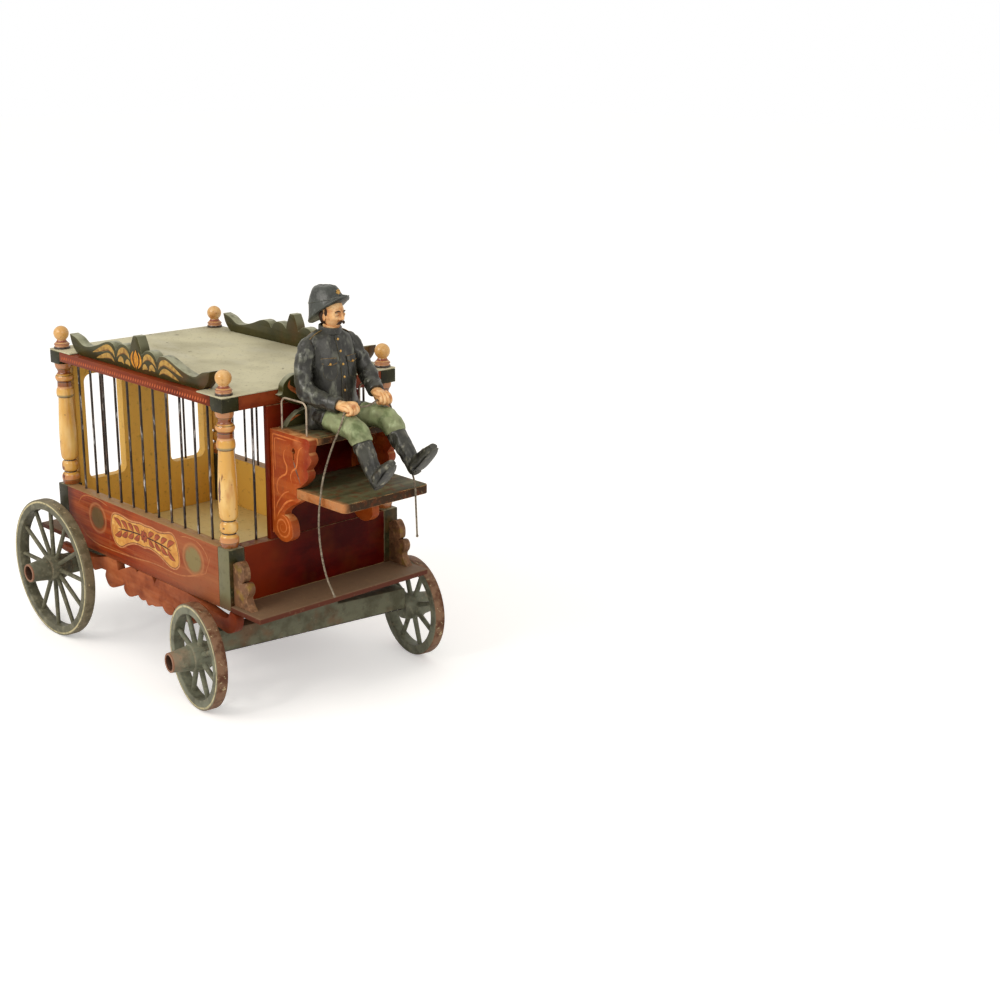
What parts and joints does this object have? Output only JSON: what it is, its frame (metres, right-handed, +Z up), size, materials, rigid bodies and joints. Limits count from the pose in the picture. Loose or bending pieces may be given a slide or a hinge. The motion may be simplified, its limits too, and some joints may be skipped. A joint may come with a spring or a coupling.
{
  "type": "toy circus wagon",
  "caption": "Painted wooden toy circus wagon: barred cage with turned corner posts and scroll fretwork, spoked wheels on a steering front axle, and a helmeted driver on a raised seat.",
  "frame": {"origin": "on the ground under the middle of the wagon's length, from the left toe to the back of the rear wheels, and on its middle plane across", "axes": "+X forward, the way the driver faces; +Y to the driver's left; +Z up"},
  "size_m": [0.7457, 0.441, 0.5838],
  "materials": {
    "ochre_wood": "matt ochre paint on wood, worn",
    "panel_brown_red": "satin brown-red paint on wood",
    "front_maroon": "satin dark maroon paint on wood",
    "block_dark_green": "dark green paint on wood, worn at the edges",
    "post_honey_wood": "honey coloured varnish on turned wood",
    "finial_pale_wood": "pale varnish on turned wood",
    "rail_brick_red": "brick red paint on wood",
    "roof_pale": "pale matt paint on thin board, worn",
    "cornice_green": "dark green paint with ochre ornament on sawn wood",
    "scroll_orange_red": "orange-red paint on sawn and carved wood",
    "seat_olive": "olive paint on wood, orange where it is worn",
    "steel_dark": "dark steel wire and rod",
    "wheel_grey_green": "grey-green paint on wood with a cream ring",
    "axle_grey_green": "grey-green paint on wood",
    "uniform_slate": "slate grey paint on carved wood, worn",
    "breeches_sage": "sage green paint on carved wood, boots black",
    "head_skin": "ochre skin paint on carved wood, helmet slate grey",
    "rein_grey": "grey-brown thin leather cord"
  },
  "bodies": {
    "wagon": {"floor_board": "ochre_wood", "side_panel_right": "panel_brown_red", "side_panel_left": "panel_brown_red", "front_panel": "front_maroon", "rear_wall": "panel_brown_red", "corner_block_lower_front_right": "block_dark_green", "corner_block_lower_front_left": "block_dark_green", "corner_block_lower_rear_right": "block_dark_green", "corner_block_lower_rear_left": "block_dark_green", "corner_post_front_right": "post_honey_wood", "corner_post_front_left": "post_honey_wood", "corner_post_rear_right": "post_honey_wood", "corner_post_rear_left": "post_honey_wood", "corner_block_upper_front_right": "block_dark_green", "corner_block_upper_front_left": "block_dark_green", "corner_block_upper_rear_right": "block_dark_green", "corner_block_upper_rear_left": "block_dark_green", "finial_front_right": "finial_pale_wood", "finial_front_left": "finial_pale_wood", "finial_rear_right": "finial_pale_wood", "finial_rear_left": "finial_pale_wood", "top_rail_right": "rail_brick_red", "top_rail_left": "rail_brick_red", "top_rail_front": "rail_brick_red", "roof_board": "roof_pale", "cornice_right": "cornice_green", "cornice_left": "cornice_green", "side_apron_right": "scroll_orange_red", "side_apron_left": "scroll_orange_red", "platform_bracket_right": "scroll_orange_red", "platform_bracket_left": "scroll_orange_red", "seat_bracket_right": "scroll_orange_red", "seat_bracket_left": "scroll_orange_red", "seat_board": "seat_olive", "footboard": "seat_olive", "seat_back_board": "front_maroon", "headboard": "cornice_green", "arm_rail_right": "steel_dark", "arm_rail_left": "steel_dark", "rear_axle_block": "axle_grey_green", "rear_axle_rod": "steel_dark", "driver_jacket": "uniform_slate", "driver_head": "head_skin", "driver_arm_right": "uniform_slate", "driver_arm_left": "uniform_slate", "driver_leg_right": "breeches_sage", "driver_leg_left": "breeches_sage", "rein_right": "rein_grey", "rein_left": "rein_grey", "rein_middle": "rein_grey"},
    "front_truck": {"front_axle_block": "axle_grey_green", "front_axle_rod": "steel_dark"},
    "wheel_rear_right": {"wheel_rim_rear_right": "wheel_grey_green", "wheel_hub_rear_right": "wheel_grey_green"},
    "wheel_rear_left": {"wheel_rim_rear_left": "wheel_grey_green", "wheel_hub_rear_left": "wheel_grey_green"},
    "wheel_front_right": {"wheel_rim_front_right": "wheel_grey_green", "wheel_hub_front_right": "wheel_grey_green"},
    "wheel_front_left": {"wheel_rim_front_left": "wheel_grey_green", "wheel_hub_front_left": "wheel_grey_green"}
  },
  "joints": [
    {"name": "steering", "type": "hinge", "parent": "wagon", "child": "front_truck", "pos_m": [0.14365, 0, 0.1285], "axis": [0, 0, 1], "range_deg": [-2.65, 19.35]},
    {"name": "wheel_rear_right_spin", "type": "hinge", "parent": "wagon", "child": "wheel_rear_right", "pos_m": [-0.26575, 0, 0.1071], "axis": [0, 1, 0], "continuous": true},
    {"name": "wheel_rear_left_spin", "type": "hinge", "parent": "wagon", "child": "wheel_rear_left", "pos_m": [-0.26575, 0, 0.1071], "axis": [0, 1, 0], "continuous": true},
    {"name": "wheel_front_right_spin", "type": "hinge", "parent": "front_truck", "child": "wheel_front_right", "pos_m": [0.14365, 0, 0.0755], "axis": [0.1452, 0.9894, 0], "continuous": true},
    {"name": "wheel_front_left_spin", "type": "hinge", "parent": "front_truck", "child": "wheel_front_left", "pos_m": [0.14365, 0, 0.0755], "axis": [0.1452, 0.9894, 0], "continuous": true}
  ]
}
